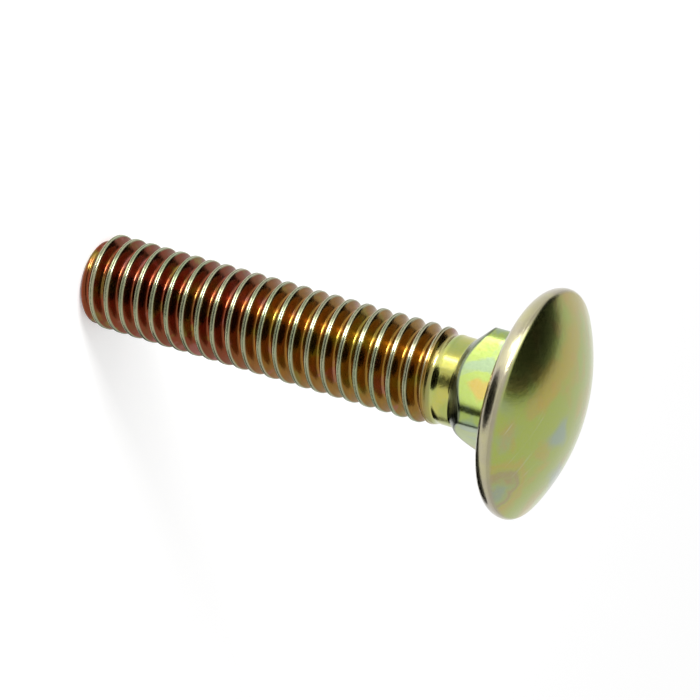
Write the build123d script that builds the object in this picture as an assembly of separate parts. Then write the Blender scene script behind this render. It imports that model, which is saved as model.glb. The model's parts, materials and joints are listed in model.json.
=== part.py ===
from build123d import *
import math
import os

# A carriage bolt: a round-head, square-neck bolt of size 5/16-18 UNC by 1 1/2 inch. It is one
# cold-formed piece of plated steel, with a low domed head, a short square neck that keeps the bolt
# from turning in the hole it is driven into, and a shank that is threaded almost up to the neck.
# The shank is drawn as a plain cylinder at the thread's major diameter.
#
# The bolt stands on the flat end of its tip, because it rolls when it lies on its side. The origin
# is the middle of the tip, and Z is the bolt's axis, from the tip up to the head. The flats of the
# neck face along X and Y.

# Driving sizes, in millimetres and degrees
bolt_length = 37.8              # from the tip to the underside of the head
thread_diameter = 7.7           # major diameter
point_diameter = 6.2            # flat end of the tip
point_angle = 45.0              # of the tip's chamfer, from the axis
blank_diameter = 7.0            # plain stretch of the shank between the thread and the neck
blank_length = 1.0
runout_length = 1.9             # over which the thread fades into the plain stretch

neck_width = 8.0                # across flats
neck_length = 4.55              # from the plain stretch to the underside of the head
neck_corner_radius = 1.3
lead_in_angle = 45.0            # of the cone that leads into the neck, from the axis
neck_root_radius = 0.35         # where the neck meets the head

head_diameter = 17.9
head_height = 4.15
lower_rim_radius = 1.2          # rounding of the rim's edge, below its widest circle
upper_rim_radius = 0.6          # and above it

# Sizes that follow from them
thread_radius = thread_diameter / 2
point_radius = point_diameter / 2
blank_radius = blank_diameter / 2
head_radius = head_diameter / 2
point_length = (thread_radius - point_radius) / math.tan(math.radians(point_angle))
neck_start = bolt_length - neck_length
runout_end = neck_start - blank_length
thread_end = runout_end - runout_length
neck_corner_reach = math.sqrt(2) * (neck_width / 2 - neck_corner_radius) + neck_corner_radius
rim_height = bolt_length + lower_rim_radius
top = bolt_length + head_height


def turned(outline):
    """A solid of revolution about the Z axis, from an outline in XZ that starts and ends on it."""
    closing = Line(outline @ 1, outline @ 0)
    return revolve(make_face([*outline.edges(), *closing.edges()]), axis=Axis.Z)


def shank():
    """The shank, with its chamfered tip, the thread's run-out and the plain stretch."""
    return turned(
        Polyline(
            (0, 0, 0),
            (point_radius, 0, 0),
            (thread_radius, 0, point_length),
            (thread_radius, 0, thread_end),
            (blank_radius, 0, runout_end),
            (blank_radius, 0, neck_start),
            (0, 0, neck_start),
        )
    )


def neck():
    """The square neck: a bar with rounded corners, cut at its start by the lead-in cone."""
    section = RectangleRounded(neck_width, neck_width, neck_corner_radius)
    bar = extrude(Plane.XY.offset(neck_start) * section, neck_length)
    cone_length = (neck_corner_reach - blank_radius) / math.tan(math.radians(lead_in_angle))
    lead_in = turned(
        Polyline(
            (0, 0, neck_start),
            (blank_radius, 0, neck_start),
            (neck_corner_reach, 0, neck_start + cone_length),
            (neck_corner_reach, 0, bolt_length),
            (0, 0, bolt_length),
        )
    )
    return bar & lead_in


def head():
    """The head: a flat underside, a rounded rim and a dome that is tangent to the rim."""
    rise = top - rim_height
    reach = head_radius - upper_rim_radius
    dome_radius = (reach**2 + rise**2 - upper_rim_radius**2) / (2 * (rise - upper_rim_radius))
    dome_centre = Vector(0, 0, top - dome_radius)
    rim_centre = Vector(reach, 0, rim_height)
    dome_edge = dome_centre + (rim_centre - dome_centre).normalized() * dome_radius
    rim_edge = Vector(head_radius, 0, rim_height)
    underside = Line((0, 0, bolt_length), (head_radius - lower_rim_radius, 0, bolt_length))
    lower_rim = TangentArc(underside @ 1, rim_edge, tangent=(1, 0, 0))
    upper_rim = TangentArc(rim_edge, dome_edge, tangent=(0, 0, 1))
    dome = TangentArc(dome_edge, (0, 0, top), tangent=upper_rim % 1)
    return turned(Curve() + [underside, lower_rim, upper_rim, dome])


def bolt():
    """The whole bolt, with the neck's root rounded where it meets the underside of the head."""
    body = shank() + neck() + head()
    underside = body.faces().filter_by(Axis.Z).filter_by_position(Axis.Z, bolt_length, bolt_length)
    root = underside.face().inner_wires().wire().edges()
    return fillet(root, neck_root_radius)


os.makedirs("parts", exist_ok=True)
export_step(bolt(), "parts/carriage_bolt.step")
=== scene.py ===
import json
import math

import bmesh
import bpy
from bpy.props import FloatProperty, FloatVectorProperty, IntProperty, PointerProperty
from mathutils import Matrix, Vector


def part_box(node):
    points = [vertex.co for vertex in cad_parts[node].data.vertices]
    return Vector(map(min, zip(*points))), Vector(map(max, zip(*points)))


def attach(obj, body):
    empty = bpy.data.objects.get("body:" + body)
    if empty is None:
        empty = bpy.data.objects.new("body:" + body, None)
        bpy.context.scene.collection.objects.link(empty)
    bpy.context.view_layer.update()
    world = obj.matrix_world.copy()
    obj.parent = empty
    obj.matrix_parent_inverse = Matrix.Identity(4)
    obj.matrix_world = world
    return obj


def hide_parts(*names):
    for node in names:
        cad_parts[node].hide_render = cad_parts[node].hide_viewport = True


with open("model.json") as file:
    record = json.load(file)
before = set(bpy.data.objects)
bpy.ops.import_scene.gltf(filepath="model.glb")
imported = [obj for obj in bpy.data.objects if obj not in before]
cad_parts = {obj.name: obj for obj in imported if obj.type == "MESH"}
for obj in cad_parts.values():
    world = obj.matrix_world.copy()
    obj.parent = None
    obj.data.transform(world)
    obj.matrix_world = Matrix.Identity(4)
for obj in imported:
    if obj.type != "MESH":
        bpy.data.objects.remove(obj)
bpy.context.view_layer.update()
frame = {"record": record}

bl_info = {
    "name": "Carriage bolt",
    "version": (1, 0, 0),
    "blender": (4, 5, 0),
    "location": "View3D > Sidebar > Bolt",
    "description": "A yellow zinc plated carriage bolt with a true thread, on a plain pale stage",
    "category": "Add Mesh",
}

# The frame gives the overall sizes and where the thread and the underside of the head are. The
# script works in metres, and sizes that a user may change are in millimetres.
MM = 0.001
MOUNTS = {mount["name"]: mount for mount in frame["record"]["mounts"]}
THREAD = MOUNTS["thread"]
THREAD_RADIUS = THREAD["dims"]["r_mm"] * MM
THREAD_END = THREAD["pos_m"][2] + THREAD["dims"]["length_mm"] * MM / 2
HEAD_UNDERSIDE = MOUNTS["head_underside"]["pos_m"][2]
HEAD_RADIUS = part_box("carriage_bolt")[1].x
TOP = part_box("carriage_bolt")[1].z


# ---------------------------------------------------------------------------------------------
# Sizes and colours
# ---------------------------------------------------------------------------------------------


def millimetres(name, description, default):
    return FloatProperty(name=name, description=description, default=default, min=0.0, precision=3)


def colour(name, description, default):
    return FloatVectorProperty(
        name=name, description=description, default=default, size=3, min=0.0, max=1.0,
        subtype="COLOR",
    )


class BoltSizes(bpy.types.PropertyGroup):
    pitch: millimetres("Pitch", "Distance between two turns of the thread, in mm", 25.4 / 18)
    crest_width: millimetres("Crest width", "Top of the thread, in mm", 0.29)
    crest_seam: millimetres(
        "Crest seam", "Depth of the seam that rolling leaves along the crest, in mm", 0.05
    )
    root_radius: millimetres(
        "Root radius", "From the axis to the bottom of the thread, in mm", 3.13
    )
    crest_height_over_x: millimetres(
        "Thread phase", "Height of the first crest over the X axis, in mm", 0.225
    )
    point_radius: millimetres("Point radius", "Flat end of the tip, in mm", 3.1)
    blank_radius: millimetres(
        "Blank radius", "Plain stretch between the thread and the neck, in mm", 3.5
    )
    blank_length: millimetres("Blank length", "Length of the plain stretch, in mm", 1.0)
    neck_width: millimetres("Neck width", "Square neck across its flats, in mm", 8.0)
    neck_length: millimetres("Neck length", "From the plain stretch to the head, in mm", 4.55)
    neck_corner: millimetres("Neck corner", "Rounding of the neck's corners, in mm", 1.3)
    neck_root: millimetres("Neck root", "Rounding between the neck and the head, in mm", 0.35)
    lower_rim: millimetres(
        "Lower rim", "Rounding of the head's rim below its widest circle, in mm", 1.2
    )
    upper_rim: millimetres(
        "Upper rim", "Rounding of the head's rim above its widest circle, in mm", 0.6
    )
    columns: IntProperty(
        name="Columns", description="Faces round the bolt", default=128, min=32, max=256
    )


class FinishColours(bpy.types.PropertyGroup):
    valley_tip: colour(
        "Valleys at the tip", "Film in the thread's valleys near the tip", (0.23, 0.040, 0.012)
    )
    valley_middle: colour(
        "Valleys in the middle", "Film in the thread's valleys halfway", (0.30, 0.125, 0.012)
    )
    valley_neck: colour(
        "Valleys at the neck", "Film in the thread's valleys near the neck", (0.32, 0.165, 0.016)
    )
    valley_green: colour("Green in the valleys", "Green patches in the valleys", (0.25, 0.26, 0.03))
    valley_pink: colour("Pink in the valleys", "Pink patches in the valleys", (0.40, 0.13, 0.12))
    crest_green: colour("Green crest", "Film on the crests", (0.30, 0.35, 0.20))
    crest_warm: colour("Warm crest", "Film on the crests, where it is thin", (0.42, 0.38, 0.25))
    valley_dark: colour("Dark in the valleys", "Dark streaks in the valleys", (0.12, 0.06, 0.012))
    # The seam colour is painted shade: a dark tint along the middle of each crest that stands in
    # for the shade in the seam.
    seam: colour("Seam", "Film in the seam along the crests", (0.10, 0.13, 0.07))
    # The shoulder colour is painted shade: a near black tint on the cone that leads into the neck,
    # standing in for the shade there.
    shoulder_shade: colour("Shoulder", "Film on the cone that leads into the neck", (0.07, 0.085, 0.06))
    plain_yellow: colour("Yellow", "Film on the plain stretch", (0.52, 0.47, 0.08))
    plain_green: colour(
        "Green", "Film on the plain stretch, where it is deeper", (0.30, 0.38, 0.09)
    )
    neck_blue: colour("Neck, blue-green", "Blue-green patches on the neck", (0.25, 0.34, 0.18))
    neck_green: colour("Neck, yellow-green", "Main colour of the neck", (0.30, 0.39, 0.075))
    neck_orange: colour("Neck, orange", "Orange patches on the neck", (0.40, 0.30, 0.055))
    dome_teal: colour("Dome, blue-green", "Blue-green patches on the dome", (0.33, 0.42, 0.30))
    dome_green: colour("Dome, yellow-green", "Main colour of the dome", (0.40, 0.48, 0.085))
    dome_gold: colour("Dome, golden", "Golden patches on the dome", (0.50, 0.42, 0.07))
    dome_orange: colour("Dome, orange", "Orange patches on the dome", (0.56, 0.36, 0.09))
    rim_beige: colour("Rim, beige", "Main colour of the head's rim", (0.45, 0.42, 0.22))
    rim_lilac: colour("Rim, lilac", "Lilac patches on the head's rim", (0.36, 0.31, 0.25))
    ring_magenta: colour(
        "Ring, magenta", "Magenta in the rings near the head's rim", (0.40, 0.20, 0.20)
    )
    ring_blue: colour("Ring, blue", "Blue in the rings near the head's rim", (0.27, 0.35, 0.33))
    scuff: colour("Scuffs", "Pale marks on the head", (0.60, 0.62, 0.50))
    haze: colour("Haze", "Grey haze over the film", (0.46, 0.47, 0.40))


def finish_stops(finish, part):
    """Ramp stops of a part's film, by its depth."""
    return {
        "valley": (
            (0.0, finish.valley_tip), (0.35, finish.valley_tip), (0.6, finish.valley_middle),
            (1.0, finish.valley_neck),
        ),
        "neck": (
            (0.1, finish.neck_blue), (0.35, finish.neck_green), (0.6, finish.neck_green),
            (0.9, finish.neck_orange),
        ),
        "dome": (
            (0.0, finish.dome_teal), (0.3, finish.dome_green), (0.5, finish.dome_green),
            (0.75, finish.dome_gold),
        ),
    }[part]


class StageSizes(bpy.types.PropertyGroup):
    azimuth: FloatProperty(
        name="Azimuth", description="Where the camera stands round the bolt",
        default=math.radians(17.19), subtype="ANGLE",
    )
    elevation: FloatProperty(
        name="Elevation", description="How far the camera looks down",
        default=math.radians(24.33), subtype="ANGLE",
    )
    roll: FloatProperty(
        name="Roll", description="Turn of the camera about its own axis",
        default=math.radians(106.17), subtype="ANGLE",
    )
    distance: FloatProperty(
        name="Distance", description="From the camera to the bolt", default=0.19334, unit="LENGTH"
    )
    aim_height: FloatProperty(
        name="Aim height", description="Height on the bolt that the camera looks at",
        default=0.02299, unit="LENGTH",
    )
    lens: FloatProperty(
        name="Lens", description="Focal length of the camera, in mm", default=128.57
    )
    floor_colour: colour("Floor", "Colour of the floor", (0.80, 0.80, 0.80))
    floor_glow: FloatProperty(
        name="Floor glow", description="Light that the floor adds towards the camera", default=0.3
    )
    sky: FloatProperty(
        name="Sky", description="Brightness of the studio round the bolt", default=0.8
    )


# ---------------------------------------------------------------------------------------------
# The bolt's mesh
# ---------------------------------------------------------------------------------------------

# Heights across half a pitch at which the thread's outline has a point, as shares of it, from the
# middle of the crest to the middle of the root. They are closer at the edges of crest and root.
OUTLINE_SHARES = (0.0, 0.06, 0.11, 0.155, 0.195, 0.23, 0.265, 0.31, 0.37, 0.58, 0.76, 0.83, 0.91)
CREST_ROUNDING = 0.10 * MM
ROOT_ROUNDING = 0.20 * MM
FLANK_SLOPE = math.sqrt(3)      # a 60 degree thread
SEAM_SHARE = 0.6                # half width of the crest's seam, as a share of half the crest

# Small distances that the mesh is made with
LEVEL = 0.001 * MM              # points this close to a height are on it
WELD = 0.0005 * MM              # points of neighbouring turns this close are one
CUT = 0.00001 * MM              # points this close to a cut are on it
SLIVER = 0.02 * MM              # points this close on the rim of the upper cut are one
LAST_RING = 0.15 * MM           # from the last round ring below the neck to the neck's cone
EDGE_BEVEL = 0.10 * MM          # rounding of the two edges of the neck's cone
TIP_INSET = 0.12 * MM           # a narrow ring round the flat end of the tip

# Faces along each curve of the bolt's section
FILLET_STEPS = 5
RIM_STEPS = 8
DOME_STEPS = 28


def smooth_min(a, b, reach):
    """The smaller of two values, with the change from one to the other rounded."""
    near = max(reach - abs(a - b), 0.0) / reach
    return min(a, b) - near * near * reach / 4


def thread_outline_radius(offset, sizes):
    """Radius of the thread at a distance along the axis from the middle of its crest."""
    half_crest = sizes.crest_width * MM / 2
    flank = THREAD_RADIUS - FLANK_SLOPE * (abs(offset) - half_crest)
    crest = smooth_min(THREAD_RADIUS, flank, CREST_ROUNDING)
    crest -= sizes.crest_seam * MM * fade(abs(offset), 0.0, SEAM_SHARE * half_crest)
    return -smooth_min(-crest, -sizes.root_radius * MM, ROOT_ROUNDING)


def thread_outline(low, high, sizes):
    """Points (radius, height) of the thread's outline over the X axis, from low to high."""
    pitch = sizes.pitch * MM
    shares = sorted({share * side for share in OUTLINE_SHARES for side in (1, -1)} | {1.0})
    first = math.floor((low - sizes.crest_height_over_x * MM) / pitch)
    last = math.ceil((high - sizes.crest_height_over_x * MM) / pitch)
    points = []
    for turn in range(first, last + 1):
        crest = sizes.crest_height_over_x * MM + turn * pitch
        for share in shares:
            offset = share * pitch / 2
            points.append((thread_outline_radius(offset, sizes), crest + offset))
    return points


def fade(height, start, end):
    """1 up to start, 0 from end on, and a smooth fall between them."""
    share = min(max((height - start) / (end - start), 0.0), 1.0)
    return 1.0 - share * share * (3.0 - 2.0 * share)


def square_reach(angle, half_width, corner):
    """Distance from the axis to the outline of a square with rounded corners, at an angle."""
    turned = (angle + math.pi / 4) % (math.pi / 2) - math.pi / 4
    centre = half_width - corner
    if half_width * math.tan(abs(turned)) <= centre:
        return half_width / math.cos(turned)
    centre_reach = math.sqrt(2) * centre
    off = math.pi / 4 - abs(turned)
    return centre_reach * math.cos(off) + math.sqrt(corner**2 - (centre_reach * math.sin(off)) ** 2)


def boundary_at(bm, height):
    """The open edges of the mesh at a height."""
    return [
        edge
        for edge in bm.edges
        if edge.is_boundary and all(abs(vert.co.z - height) < LEVEL for vert in edge.verts)
    ]


def add_ring(bm, edges, place):
    """Extrudes an open loop, and puts each new point at the (radius, height) that place gives."""
    made = bmesh.ops.extrude_edge_only(bm, edges=edges)["geom"]
    for vert in (item for item in made if isinstance(item, bmesh.types.BMVert)):
        angle = math.atan2(vert.co.y, vert.co.x)
        radius, height = place(angle)
        vert.co = (radius * math.cos(angle), radius * math.sin(angle), height)
    return [item for item in made if isinstance(item, bmesh.types.BMEdge)]


def add_thread(bm, sizes):
    """The threaded shank, from the flat end of the tip to the plain stretch, open at the top."""
    pitch = sizes.pitch * MM
    neck_start = HEAD_UNDERSIDE - sizes.neck_length * MM
    runout_end = neck_start - sizes.blank_length * MM
    outline = thread_outline(-2 * pitch, runout_end + pitch, sizes)
    verts = [bm.verts.new((radius, 0.0, height)) for radius, height in outline]
    edges = [bm.edges.new(pair) for pair in zip(verts, verts[1:])]
    bmesh.ops.spin(
        bm, geom=verts + edges, cent=(0, 0, 0), axis=(0, 0, 1), dvec=(0, 0, pitch / sizes.columns),
        angle=2 * math.pi, steps=sizes.columns, use_merge=False, use_duplicate=False,
    )
    bmesh.ops.remove_doubles(bm, verts=bm.verts, dist=WELD)
    for vert in bm.verts:
        radius = math.hypot(vert.co.x, vert.co.y)
        blank = sizes.blank_radius * MM
        kept = blank + (radius - blank) * fade(vert.co.z, THREAD_END, runout_end)
        chamfer = sizes.point_radius * MM + max(vert.co.z, 0.0)
        vert.co.xy *= min(kept, chamfer) / radius
    for height, keep_above in ((0.0, True), (runout_end, False)):
        bmesh.ops.bisect_plane(
            bm, geom=bm.verts[:] + bm.edges[:] + bm.faces[:], plane_co=(0, 0, height),
            plane_no=(0, 0, 1), clear_inner=keep_above, clear_outer=not keep_above, dist=CUT,
        )

    # The neck's rings have one point for each column, so the points between are taken off the rim
    step = 2 * math.pi / sizes.columns
    between = [
        vert
        for edge in boundary_at(bm, runout_end)
        for vert in edge.verts
        if abs(math.remainder(math.atan2(vert.co.y, vert.co.x), step)) > 0.01 * step
    ]
    bmesh.ops.dissolve_verts(bm, verts=list(dict.fromkeys(between)))
    rim = dict.fromkeys(vert for edge in boundary_at(bm, runout_end) for vert in edge.verts)
    bmesh.ops.remove_doubles(bm, verts=list(rim), dist=SLIVER)
    tip = bmesh.ops.holes_fill(bm, edges=boundary_at(bm, 0.0), sides=0)["faces"]
    return runout_end, tip


def arc(centre_radius, centre_height, radius, start, end, steps):
    """Points (radius, height) along an arc in the bolt's section, without its first point."""
    angles = [start + (end - start) * step / steps for step in range(1, steps + 1)]
    return [
        (centre_radius + radius * math.cos(a), centre_height + radius * math.sin(a)) for a in angles
    ]


def head_outline(sizes):
    """Points (radius, height) of the head, from the edge of its flat underside to near its top."""
    lower, upper = sizes.lower_rim * MM, sizes.upper_rim * MM
    rim_height = HEAD_UNDERSIDE + lower
    rise, reach = TOP - rim_height, HEAD_RADIUS - upper
    dome = (reach**2 + rise**2 - upper**2) / (2 * (rise - upper))
    dome_angle = math.atan2(rim_height - (TOP - dome), reach)
    points = [(HEAD_RADIUS - lower, HEAD_UNDERSIDE)]
    points += arc(HEAD_RADIUS - lower, rim_height, lower, -math.pi / 2, 0.0, RIM_STEPS)
    points += arc(reach, rim_height, upper, 0.0, dome_angle, RIM_STEPS)
    nearly_top = math.pi / 2 - (math.pi / 2 - dome_angle) / DOME_STEPS
    points += arc(0.0, TOP - dome, dome, dome_angle, nearly_top, DOME_STEPS - 1)
    return points


def add_neck_and_head(bm, edges, sizes):
    """Everything above the thread, ring by ring, up to the closed top of the head."""
    half, corner = sizes.neck_width * MM / 2, sizes.neck_corner * MM
    blank, root = sizes.blank_radius * MM, sizes.neck_root * MM
    neck_start = HEAD_UNDERSIDE - sizes.neck_length * MM
    outer = HEAD_RADIUS - sizes.lower_rim * MM

    def neck(angle, out=0.0):
        return square_reach(angle, half + out, corner + out)

    def along(height):
        return lambda angle: (neck(angle), height)

    rings = [lambda angle: (blank, neck_start - LAST_RING), lambda angle: (blank, neck_start)]
    creases = [len(rings) - 1]
    rings.append(lambda angle: (neck(angle), neck_start + neck(angle) - blank))
    creases.append(len(rings) - 1)
    rings.append(along(HEAD_UNDERSIDE - root))
    for step in range(1, FILLET_STEPS + 1):
        turn = math.pi / 2 * step / FILLET_STEPS
        out, down = root * (1 - math.cos(turn)), root * (1 - math.sin(turn))
        rings.append(
            lambda angle, out=out, down=down: (neck(angle, out), HEAD_UNDERSIDE - down)
        )
    rings.append(lambda angle: ((neck(angle, root) + outer) / 2, HEAD_UNDERSIDE))
    for radius, height in head_outline(sizes):
        rings.append(lambda angle, point=(radius, height): point)
    crease_edges = []
    for index, ring in enumerate(rings):
        edges = add_ring(bm, edges, ring)
        if index in creases:
            crease_edges += edges
    cap = bmesh.ops.holes_fill(bm, edges=edges, sides=0)["faces"]
    for vert in bmesh.ops.poke(bm, faces=cap)["verts"]:
        vert.co = (0.0, 0.0, TOP)
    return crease_edges


def bolt_mesh(sizes):
    """The whole bolt as one closed mesh."""
    bm = bmesh.new()
    runout_end, tip = add_thread(bm, sizes)
    creases = add_neck_and_head(bm, boundary_at(bm, runout_end), sizes)
    bmesh.ops.bevel(
        bm, geom=creases, affect="EDGES", offset=EDGE_BEVEL, offset_type="OFFSET", segments=3,
        profile=0.5, material=-1, clamp_overlap=True,
    )
    flat = [face for face in tip if face.is_valid]
    bmesh.ops.inset_region(bm, faces=flat, thickness=TIP_INSET)
    bmesh.ops.recalc_face_normals(bm, faces=bm.faces)
    for face in bm.faces:
        face.smooth = True
    mesh = bpy.data.meshes.new("carriage_bolt_plated")
    bm.to_mesh(mesh)
    bm.free()
    return mesh


# ---------------------------------------------------------------------------------------------
# The finish
# ---------------------------------------------------------------------------------------------

# The middle of a drip near the head's rim, in mm
DRIP_CENTRE = (8.2, -2.4, 39.6)

# Heights in mm between which one film gives way to the next, and where the painted shade on the
# cone begins. Those of the head, the neck and the dome are measured from the head's underside, that
# of the thread from the thread's end, and that of the cone's painted shade from the foot of the
# cone that leads into the neck.
HEAD_CHANGE = (-0.1, 0.1)
NECK_CHANGE = (-4.5, -4.1)
DOME_CHANGE = (1.45, 1.75)
THREAD_CHANGE = (1.6, 0.6)
CONE_SHADE_CHANGE = (-0.1, 0.15)

# Depths in mm below the crest between which the crests' film gives way to the valleys', and
# distances in mm from the cone and from the middle of the crest at which their painted shade ends
VALLEY_DEPTHS = (0.05, 0.12)
CONE_SHADE_REACH = (0.24, 0.12)
SEAM_SHADE_REACH = (0.10, 0.04)
BUMP_HEIGHT = 0.01 * MM


def add_node(tree, kind, inputs=(), **settings):
    """A node of a kind, with its settings, and its inputs linked or set by name or number."""
    node = tree.nodes.new(kind)
    for name, value in settings.items():
        setattr(node, name, value)
    for name, value in dict(inputs).items():
        if isinstance(value, bpy.types.NodeSocket):
            tree.links.new(value, node.inputs[name])
        else:
            node.inputs[name].default_value = value
    return node


def calc(tree, operation, *values, clamp=False):
    """The output of a Math node."""
    node = add_node(tree, "ShaderNodeMath", enumerate(values), operation=operation, use_clamp=clamp)
    return node.outputs[0]


def band(tree, value, low, high, soft):
    """1 where a value lies between low and high, with soft edges."""
    rise = step(tree, value, low - soft, low + soft)
    fall = step(tree, value, high + soft, high - soft)
    return calc(tree, "MULTIPLY", rise, fall)


def step(tree, value, zero_at, one_at):
    """A smooth change from 0 to 1 as a value goes from zero_at to one_at."""
    if zero_at > one_at:
        return calc(tree, "SUBTRACT", 1.0, step(tree, value, one_at, zero_at))
    inputs = {"Value": value, "From Min": zero_at, "From Max": one_at}
    node = add_node(tree, "ShaderNodeMapRange", inputs, interpolation_type="SMOOTHSTEP")
    return node.outputs["Result"]


def mix(tree, share, first, second):
    """Two colours mixed."""
    node = tree.nodes.new("ShaderNodeMix")
    node.data_type = "RGBA"
    sockets = {socket.identifier: socket for socket in node.inputs}
    for identifier, value in (("Factor_Float", share), ("A_Color", first), ("B_Color", second)):
        socket = sockets[identifier]
        if isinstance(value, bpy.types.NodeSocket):
            tree.links.new(value, socket)
        elif identifier == "Factor_Float":
            socket.default_value = value
        else:
            socket.default_value = (*value, 1.0)
    return next(socket for socket in node.outputs if socket.identifier == "Result_Color")


def tint(tree, base, film, mask, strength):
    """A colour under a film or painted shade that lies where a mask is 1, and is as strong as given
    there.
    """
    return mix(tree, calc(tree, "MULTIPLY", mask, strength), base, film)


def change(tree, height, start, heights):
    """A smooth change from 0 to 1 between two heights that are measured from a start."""
    return step(tree, height, start + heights[0], start + heights[1])


def ramp(tree, value, stops):
    """A colour read from a ramp of (place, colour) stops."""
    node = add_node(tree, "ShaderNodeValToRGB", {"Fac": value})
    node.color_ramp.interpolation = "EASE"
    elements = node.color_ramp.elements
    while len(elements) < len(stops):
        elements.new(0.5)
    for element, (place, shade) in zip(elements, stops):
        element.position = place
        element.color = (*shade, 1.0)
    return node.outputs["Color"]


def noise(tree, place, scale, detail=2.0, distortion=0.0, roughness=0.5):
    """A noise value from 0 to 1, spread evenly about its middle."""
    inputs = {
        "Vector": place, "Scale": scale, "Detail": detail, "Distortion": distortion,
        "Roughness": roughness,
    }
    raw = add_node(tree, "ShaderNodeTexNoise", inputs).outputs["Fac"]
    return add_node(
        tree, "ShaderNodeMapRange", {"Value": raw, "From Min": 0.3, "From Max": 0.7}
    ).outputs["Result"]


def moved(tree, place, shift, scale=(1.0, 1.0, 1.0)):
    """The place, shifted and scaled."""
    node = add_node(tree, "ShaderNodeMapping", {"Vector": place, "Location": shift, "Scale": scale})
    return node.outputs["Vector"]


def plated_steel(finish, sizes):
    """Yellow zinc over steel: a bright metal under a film that changes colour with its depth, with
    painted shade on the neck's cone and along the crests' seams.
    """
    material = bpy.data.materials.new("yellow_zinc")
    material.use_nodes = True
    tree = material.node_tree
    shader = tree.nodes["Principled BSDF"]
    coordinates = add_node(tree, "ShaderNodeTexCoord").outputs["Object"]
    place = moved(tree, coordinates, (0, 0, 0), (1 / MM, 1 / MM, 1 / MM))
    parts = add_node(tree, "ShaderNodeSeparateXYZ", {0: place}).outputs
    x, y, z = parts["X"], parts["Y"], parts["Z"]
    across = calc(tree, "ADD", calc(tree, "MULTIPLY", x, x), calc(tree, "MULTIPLY", y, y))
    radius = calc(tree, "SQRT", across)

    # Where on the bolt a point is
    pitch = sizes.pitch
    underside, crest_radius, thread_end = HEAD_UNDERSIDE / MM, THREAD_RADIUS / MM, THREAD_END / MM
    cone_foot = underside - sizes.neck_length
    cone_start = cone_foot - sizes.blank_radius
    on_head = change(tree, z, underside, HEAD_CHANGE)
    on_neck = change(tree, z, underside, NECK_CHANGE)
    on_thread = change(tree, z, thread_end, THREAD_CHANGE)
    deep = step(tree, radius, crest_radius - VALLEY_DEPTHS[0], crest_radius - VALLEY_DEPTHS[1])
    in_valley = calc(tree, "MULTIPLY", on_thread, deep)
    turn = calc(tree, "DIVIDE", calc(tree, "ARCTAN2", y, x), 2 * math.pi)
    turns = calc(tree, "MULTIPLY_ADD", z, 1 / pitch, -sizes.crest_height_over_x / pitch)
    turns = calc(tree, "SUBTRACT", turns, turn)
    off_crest = calc(tree, "ABSOLUTE", calc(tree, "SUBTRACT", turns, calc(tree, "ROUND", turns)))
    off_crest = calc(tree, "MULTIPLY", off_crest, pitch)
    on_dome = change(tree, z, underside, DOME_CHANGE)

    # The film's depth wanders in soft patches and in small blotches, and has a fine grain
    patches = noise(tree, place, scale=0.16, detail=2.0, distortion=0.25)
    shifted = moved(tree, place, (31.0, 7.0, 12.0))
    blotches = noise(tree, shifted, scale=0.42, detail=3.0, distortion=0.4)
    shifted = moved(tree, place, (5.0, 50.0, 3.0))
    grain = noise(tree, shifted, scale=5.5, detail=3.0, roughness=0.7)

    # Thread: pale crests, and valleys from maroon at the tip to golden brown at the neck
    along = step(tree, z, 1.0, thread_end)
    valley = ramp(tree, along, finish_stops(finish, "valley"))
    green, pink = finish.valley_green, finish.valley_pink
    valley = tint(tree, valley, green, step(tree, blotches, 0.62, 0.95), 0.55)
    valley = tint(tree, valley, pink, step(tree, blotches, 0.30, 0.05), 0.6)
    stretched = moved(tree, place, (2.0, 6.0, 0.0), (0.5, 0.5, 5.0))
    streaks = noise(tree, stretched, scale=1.3, detail=3.0, distortion=0.2)
    valley = tint(tree, valley, finish.valley_dark, streaks, 0.45)
    crest = mix(tree, patches, finish.crest_green, finish.crest_warm)
    # Painted shade: a dark tint along the seam in the middle of each crest, broken up by the grain
    seam = calc(
        tree, "MULTIPLY", step(tree, off_crest, *SEAM_SHADE_REACH), step(tree, grain, 0.05, 0.6)
    )
    crest = tint(tree, crest, finish.seam, seam, 0.75)
    thread = mix(tree, in_valley, crest, valley)

    # Plain stretch, neck and head: yellow-green with orange and blue-green patches
    plain = mix(tree, blotches, finish.plain_yellow, finish.plain_green)
    neck = ramp(tree, blotches, finish_stops(finish, "neck"))
    # Painted shade: a near black tint on the cone that leads into the neck
    cone = calc(tree, "SUBTRACT", radius, calc(tree, "SUBTRACT", z, cone_start))
    near_cone = step(tree, calc(tree, "ABSOLUTE", cone), *CONE_SHADE_REACH)
    painted_cone_shade = calc(tree, "MULTIPLY", near_cone, change(tree, z, cone_foot, CONE_SHADE_CHANGE))
    dome = ramp(tree, patches, finish_stops(finish, "dome"))
    dome = tint(tree, dome, finish.dome_orange, step(tree, blotches, 0.5, 1.0), 0.45)

    # Rings of colour near the head's rim, where the film thins out round a drip
    drip = add_node(
        tree, "ShaderNodeVectorMath", {0: place, 1: DRIP_CENTRE}, operation="DISTANCE"
    ).outputs["Value"]
    drip = calc(tree, "MULTIPLY_ADD", blotches, 1.1, drip)
    dome = tint(tree, dome, finish.ring_blue, band(tree, drip, 0.6, 1.6, 0.6), 0.7)
    dome = tint(tree, dome, finish.ring_magenta, band(tree, drip, 1.9, 2.4, 0.4), 0.6)
    dome = tint(tree, dome, finish.dome_orange, band(tree, drip, 2.7, 3.3, 0.5), 0.6)

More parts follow.
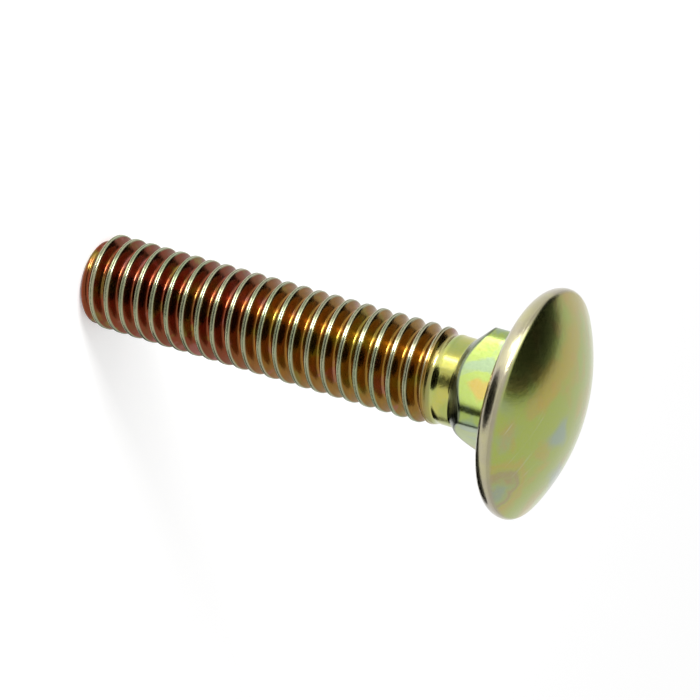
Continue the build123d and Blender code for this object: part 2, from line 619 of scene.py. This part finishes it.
    # Scuffs across the dome
    stretched = moved(tree, place, (3.0, 1.0, 0.0), (0.35, 7.0, 0.35))
    scratched = noise(tree, stretched, scale=0.5, detail=3.0, distortion=0.6)
    patchy = noise(tree, moved(tree, place, (0.0, 14.0, 4.0)), scale=0.3, detail=1.0)
    scuffs = calc(tree, "MULTIPLY", step(tree, scratched, 0.80, 1.0), step(tree, patchy, 0.5, 0.9))
    dome = tint(tree, dome, finish.scuff, scuffs, 0.6)
    rim = mix(tree, blotches, finish.rim_beige, finish.rim_lilac)
    head = mix(tree, on_dome, rim, dome)

    body = mix(tree, on_thread, plain, thread)
    body = mix(tree, on_neck, body, neck)
    # Lays the painted shade over the cone
    body = tint(tree, body, finish.shoulder_shade, painted_cone_shade, 0.85)
    body = mix(tree, on_head, body, head)

    # A grey haze in fine grains, weaker on the thread
    hazy = calc(tree, "MULTIPLY", grain, calc(tree, "MULTIPLY_ADD", on_thread, -0.15, 0.18))
    body = mix(tree, hazy, body, finish.haze)
    tree.links.new(body, shader.inputs["Base Color"])

    # A thin clear coat, heavier on the head, and a shine that the grain breaks up a little
    shader.inputs["Metallic"].default_value = 1.0
    shader.inputs["Coat Roughness"].default_value = 0.12
    coat = calc(tree, "MULTIPLY_ADD", on_head, 0.26, 0.12)
    tree.links.new(coat, shader.inputs["Coat Weight"])
    shine = calc(tree, "MULTIPLY_ADD", grain, 0.06, 0.15)
    shine = calc(tree, "ADD", shine, calc(tree, "MULTIPLY", on_neck, 0.05))
    tree.links.new(shine, shader.inputs["Roughness"])

    # Shallow waves in the metal
    shifted = moved(tree, place, (9.0, 2.0, 70.0))
    waves = noise(tree, shifted, scale=2.2, detail=5.0, distortion=0.3, roughness=0.6)
    bump = add_node(
        tree, "ShaderNodeBump", {"Height": waves, "Distance": BUMP_HEIGHT, "Strength": 0.35}
    )
    tree.links.new(bump.outputs["Normal"], shader.inputs["Normal"])
    return material


# ---------------------------------------------------------------------------------------------
# The stage
# ---------------------------------------------------------------------------------------------

# Lamps close to the bolt: name, angle round the bolt in degrees, distance from the bolt's axis,
# height that it hangs and points at, its size, and its brightness. Lengths here are in metres.
NEAR_LAMPS = (
    ("panel", -22, 0.060, 0.024, (0.036, 0.048), 0.95),
    ("strip", -29, 0.058, 0.028, (0.007, 0.056), 5.5),
    ("rim_lamp", -18, 0.060, 0.046, (0.016, 0.024), 30.0),
)
HIGH_LAMP_ANGLES = (-40, 38)
HIGH_LAMP_DISTANCE = 0.5
HIGH_LAMP_SIZE = (0.25, 0.25)
HIGH_LAMP_GLOW = 2.0

# Dark cards that lie on the floor: name, angle round the bolt in degrees, distance of the card's
# middle from the bolt's axis, and size. A third one stands at the side.
FLOOR_CARDS = (
    ("front_card", 27, 0.056, (0.046, 0.096)),
    ("low_card", 140, 0.048, (0.044, 0.078)),
)
CARD_LIFT = 0.0003
SIDE_CARD_ANGLES = (-98, 52)
SIDE_CARD_DISTANCE = 0.12
SIDE_CARD_SIZE = (0.098, 0.190)

FLOOR_SIZE = (4.0, 4.0)
SENSOR_WIDTH = 36.0             # in mm


def direction(azimuth, elevation):
    """Unit vector from the bolt to a place round it, at angles in radians."""
    return Vector(
        (
            math.sin(azimuth) * math.cos(elevation),
            -math.cos(azimuth) * math.cos(elevation),
            math.sin(elevation),
        )
    )


def camera_axes(stage):
    """Right, up and back of the camera, as it stands round the bolt and is rolled."""
    back = direction(stage.azimuth, stage.elevation)
    level = Vector((0, 0, 1)).cross(back).normalized()
    upright = back.cross(level)
    right = level * math.cos(stage.roll) + upright * math.sin(stage.roll)
    return right, back.cross(right), back


def facing(place, target):
    """Matrix that puts an object at a place, with its -Z towards a target."""
    back = (place - target).normalized()
    right = Vector((0, 0, 1)).cross(back).normalized()
    turn = Matrix((right, back.cross(right), back)).transposed().to_4x4()
    return Matrix.Translation(place) @ turn


def add_lamp(context, name, place, target, size, glow):
    """A soft rectangular lamp of a given brightness, seen in reflections but not directly."""
    data = bpy.data.lights.new(name, "AREA")
    data.shape = "RECTANGLE"
    data.size, data.size_y = size
    data.energy = glow * math.pi * size[0] * size[1]
    lamp = bpy.data.objects.new(name, data)
    lamp.matrix_world = facing(place, target)
    lamp.visible_camera = False
    context.scene.collection.objects.link(lamp)


def plane_mesh(name, size, matrix, rounded=False):
    """A rectangle or an ellipse, placed by a matrix."""
    bm = bmesh.new()
    if rounded:
        bmesh.ops.create_circle(bm, cap_ends=True, segments=48, radius=0.5)
    else:
        bmesh.ops.create_grid(bm, x_segments=1, y_segments=1, size=0.5)
    bmesh.ops.scale(bm, vec=(*size, 1.0), verts=bm.verts)
    bmesh.ops.transform(bm, matrix=matrix, verts=bm.verts)
    mesh = bpy.data.meshes.new(name)
    bm.to_mesh(mesh)
    bm.free()
    return mesh


def floor_material(stage):
    """A matt floor that glows a little towards the camera and in reflections, to be white."""
    material = bpy.data.materials.new("pale_floor")
    material.use_nodes = True
    tree = material.node_tree
    shader = tree.nodes["Principled BSDF"]
    shader.inputs["Base Color"].default_value = (*stage.floor_colour, 1.0)
    shader.inputs["Roughness"].default_value = 0.9
    shader.inputs["Specular IOR Level"].default_value = 0.0
    path = add_node(tree, "ShaderNodeLightPath").outputs
    seen = calc(tree, "ADD", path["Is Camera Ray"], path["Is Glossy Ray"])
    seen = calc(tree, "ADD", seen, path["Is Transmission Ray"], clamp=True)
    glow = add_node(
        tree, "ShaderNodeEmission", {"Strength": calc(tree, "MULTIPLY", seen, stage.floor_glow)}
    )
    both = add_node(tree, "ShaderNodeAddShader", {0: shader.outputs[0], 1: glow.outputs[0]})
    output = tree.nodes["Material Output"]
    tree.links.new(both.outputs[0], output.inputs["Surface"])
    return material


def add_card(context, name, matrix, size):
    """A matt black card that shows only in reflections."""
    card = bpy.data.objects.new(name, plane_mesh(name, size, matrix, rounded=True))
    material = bpy.data.materials.new(name)
    material.use_nodes = True
    shader = material.node_tree.nodes["Principled BSDF"]
    shader.inputs["Base Color"].default_value = (0.0, 0.0, 0.0, 1.0)
    shader.inputs["Roughness"].default_value = 1.0
    shader.inputs["Specular IOR Level"].default_value = 0.0
    card.data.materials.append(material)
    for kind in ("camera", "diffuse", "transmission", "volume_scatter", "shadow"):
        setattr(card, "visible_" + kind, False)
    context.scene.collection.objects.link(card)


class BOLT_OT_add_bolt(bpy.types.Operator):
    """Adds the plated bolt in place of its plain solid"""

    bl_idname = "bolt.add_bolt"
    bl_label = "Bolt"

    def execute(self, context):
        scene = context.scene
        bolt = bpy.data.objects.new("plated_bolt", bolt_mesh(scene.bolt_sizes))
        scene.collection.objects.link(bolt)
        bolt.data.materials.append(plated_steel(scene.bolt_finish, scene.bolt_sizes))
        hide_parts("carriage_bolt")
        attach(bolt, "root")
        return {"FINISHED"}


class BOLT_OT_add_stage(bpy.types.Operator):
    """Adds the floor, the lamps, the world and the camera"""

    bl_idname = "bolt.add_stage"
    bl_label = "Stage"

    def execute(self, context):
        stage = context.scene.bolt_stage
        right, up, back = camera_axes(stage)
        aim = Vector((0, 0, stage.aim_height))
        data = bpy.data.cameras.new("camera")
        data.lens = stage.lens
        data.sensor_width = SENSOR_WIDTH
        camera = bpy.data.objects.new("camera", data)
        turn = Matrix((right, up, back)).transposed().to_4x4()
        camera.matrix_world = Matrix.Translation(aim + back * stage.distance) @ turn
        context.scene.collection.objects.link(camera)
        context.scene.camera = camera

        floor = bpy.data.objects.new("floor", plane_mesh("floor", FLOOR_SIZE, Matrix.Identity(4)))
        floor.data.materials.append(floor_material(stage))
        context.scene.collection.objects.link(floor)

        # A low panel, a strip and a small bright lamp for the head's rim, all close to the bolt on
        # the camera's side, and a wide soft lamp higher up
        for name, azimuth, distance, height, size, glow in NEAR_LAMPS:
            target = Vector((0, 0, height))
            place = direction(math.radians(azimuth), 0.0) * distance + target
            add_lamp(context, name, place, target, size, glow)
        azimuth, elevation = (math.radians(angle) for angle in HIGH_LAMP_ANGLES)
        place = direction(azimuth, elevation) * HIGH_LAMP_DISTANCE
        add_lamp(context, "high_lamp", place, aim, HIGH_LAMP_SIZE, HIGH_LAMP_GLOW)

        # Dark cards, which give the metal its dark streaks
        for name, angle, distance, size in FLOOR_CARDS:
            turn = Matrix.Rotation(math.radians(angle), 4, "Z")
            add_card(context, name, turn @ Matrix.Translation((0.0, -distance, CARD_LIFT)), size)
        azimuth, elevation = (math.radians(angle) for angle in SIDE_CARD_ANGLES)
        side = facing(aim + direction(azimuth, elevation) * SIDE_CARD_DISTANCE, aim)
        add_card(context, "side_card", side, SIDE_CARD_SIZE)

        world = bpy.data.worlds.new("studio")
        world.use_nodes = True
        world.node_tree.nodes["Background"].inputs["Color"].default_value = (1, 1, 1, 1)
        world.node_tree.nodes["Background"].inputs["Strength"].default_value = stage.sky
        context.scene.world = world
        context.scene.view_settings.view_transform = "Standard"
        return {"FINISHED"}


class BOLT_PT_sidebar(bpy.types.Panel):
    """The bolt's operators and sizes, in the sidebar of the 3D view"""

    bl_idname = "BOLT_PT_sidebar"
    bl_label = "Carriage bolt"
    bl_space_type = "VIEW_3D"
    bl_region_type = "UI"
    bl_category = "Bolt"

    def draw(self, context):
        for operator in (BOLT_OT_add_bolt, BOLT_OT_add_stage):
            self.layout.operator(operator.bl_idname)
        scene = context.scene
        for group in (scene.bolt_sizes, scene.bolt_finish, scene.bolt_stage):
            column = self.layout.column()
            for name in group.bl_rna.properties.keys():
                if name not in ("rna_type", "name"):
                    column.prop(group, name)


CLASSES = (
    BoltSizes, FinishColours, StageSizes, BOLT_OT_add_bolt, BOLT_OT_add_stage, BOLT_PT_sidebar,
)


def register():
    for cls in CLASSES:
        bpy.utils.register_class(cls)
    bpy.types.Scene.bolt_sizes = PointerProperty(type=BoltSizes)
    bpy.types.Scene.bolt_finish = PointerProperty(type=FinishColours)
    bpy.types.Scene.bolt_stage = PointerProperty(type=StageSizes)


def unregister():
    del bpy.types.Scene.bolt_stage
    del bpy.types.Scene.bolt_finish
    del bpy.types.Scene.bolt_sizes
    for cls in reversed(CLASSES):
        bpy.utils.unregister_class(cls)


def main():
    register()
    bpy.ops.bolt.add_bolt()
    bpy.ops.bolt.add_stage()


if __name__ == "__main__":
    main()
